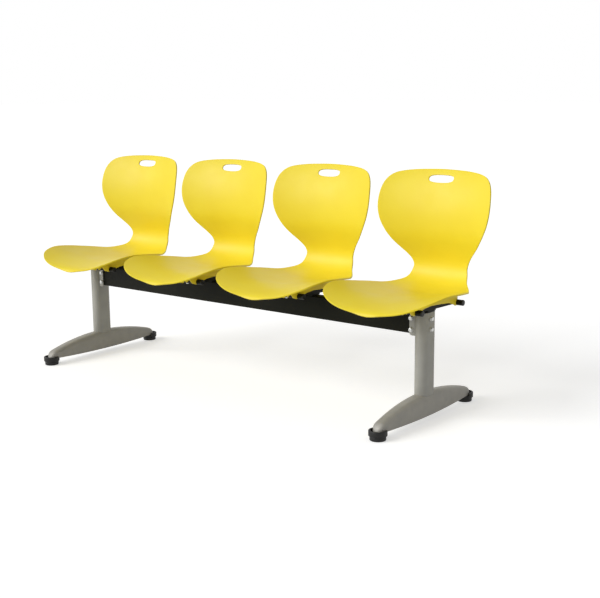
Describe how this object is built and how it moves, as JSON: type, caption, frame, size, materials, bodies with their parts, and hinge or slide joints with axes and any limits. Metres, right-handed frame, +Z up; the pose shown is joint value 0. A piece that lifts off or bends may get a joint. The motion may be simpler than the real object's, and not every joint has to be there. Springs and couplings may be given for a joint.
{
  "type": "beam seating",
  "caption": "Beam seating: moulded bucket shells with hand slots on a straight steel beam between column legs with arched feet and levelling glides.",
  "frame": {"origin": "on the floor, under the middle of the beam", "axes": "+X along the beam, -Y the side that people sit facing, +Z up"},
  "size_m": [1.902, 0.61, 0.8202],
  "materials": {
    "shell_plastic": "satin yellow moulded polypropylene",
    "black_paint": "satin black powder coat on steel",
    "grey_paint": "warm grey metallic powder coat on steel",
    "grey_casting": "warm grey metallic powder coat on cast aluminium",
    "black_plastic": "fine textured black plastic"
  },
  "bodies": {
    "frame": {"seat_shell_1": "shell_plastic", "seat_bracket_1": "black_paint", "seat_shell_2": "shell_plastic", "seat_bracket_2": "black_paint", "seat_shell_3": "shell_plastic", "seat_bracket_3": "black_paint", "seat_shell_4": "shell_plastic", "seat_bracket_4": "black_paint", "beam": "black_paint", "column_caps": "black_plastic", "column_left": "grey_paint", "leg_bracket_left": "black_paint", "foot_left": "grey_casting", "glide_cups_left": "black_plastic", "column_right": "grey_paint", "leg_bracket_right": "black_paint", "foot_right": "grey_casting", "glide_cups_right": "black_plastic"},
    "levelling_left_front": {"glide_left_front": "black_plastic"},
    "levelling_left_rear": {"glide_left_rear": "black_plastic"},
    "levelling_right_front": {"glide_right_front": "black_plastic"},
    "levelling_right_rear": {"glide_right_rear": "black_plastic"}
  },
  "joints": [
    {"name": "level_left_front", "type": "slide", "parent": "frame", "child": "levelling_left_front", "axis": [0, 0, -1], "range_m": [0, 0.012]},
    {"name": "level_left_rear", "type": "slide", "parent": "frame", "child": "levelling_left_rear", "axis": [0, 0, -1], "range_m": [0, 0.012]},
    {"name": "level_right_front", "type": "slide", "parent": "frame", "child": "levelling_right_front", "axis": [0, 0, -1], "range_m": [0, 0.012]},
    {"name": "level_right_rear", "type": "slide", "parent": "frame", "child": "levelling_right_rear", "axis": [0, 0, -1], "range_m": [0, 0.012]}
  ]
}
